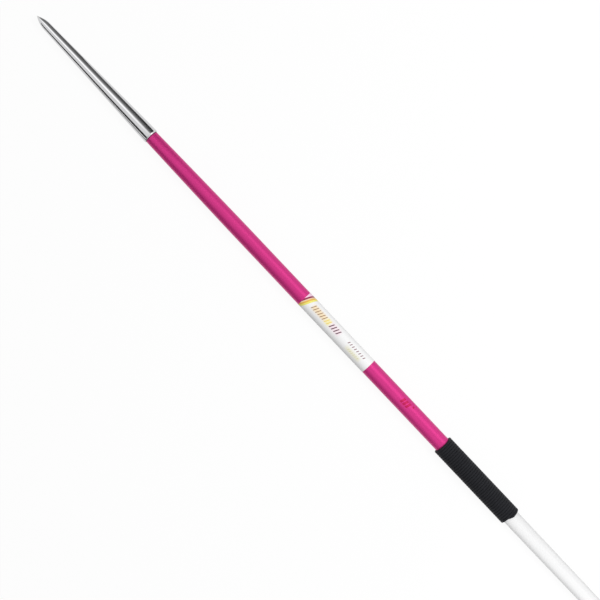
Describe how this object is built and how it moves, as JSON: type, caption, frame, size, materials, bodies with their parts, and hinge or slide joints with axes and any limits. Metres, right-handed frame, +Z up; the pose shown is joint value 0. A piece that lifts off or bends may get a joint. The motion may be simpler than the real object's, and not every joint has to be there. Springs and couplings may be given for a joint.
{
  "type": "javelin",
  "caption": "Throwing javelin of the 600 g class: polished steel head, magenta front shaft with a film label, black cord-wound grip and white tapering tail.",
  "frame": {"origin": "on the surface that the javelin lies on, at the flat underside of the cord grip, below the middle of the grip's length", "axes": "+X along the shaft towards the point, the way it is thrown; +Z up from the surface that it lies on"},
  "size_m": [2.22, 0.0328, 0.031],
  "materials": {
    "polished_steel": "polished",
    "zinc_steel": "bright zinc plate",
    "bare_aluminium": "as turned",
    "magenta_shaft": "satin magenta coating",
    "white_shaft": "gloss white paint",
    "label_film": "satin white film with a printed band",
    "cloth_tape": "woven tape",
    "grip_cord": "braided black cord",
    "tail_rubber": "matte"
  },
  "bodies": {
    "root": {"head_point": "polished_steel", "head_shell": "polished_steel", "nose_plug": "bare_aluminium", "trim_weight": "zinc_steel", "weight_washer": "zinc_steel", "weight_screw": "zinc_steel", "front_tube": "magenta_shaft", "rear_tube": "white_shaft", "splice_sleeve": "bare_aluminium", "label_wrap": "label_film", "grip_tape": "cloth_tape", "grip_cord": "grip_cord", "tail_cap": "tail_rubber"}
  },
  "joints": []
}
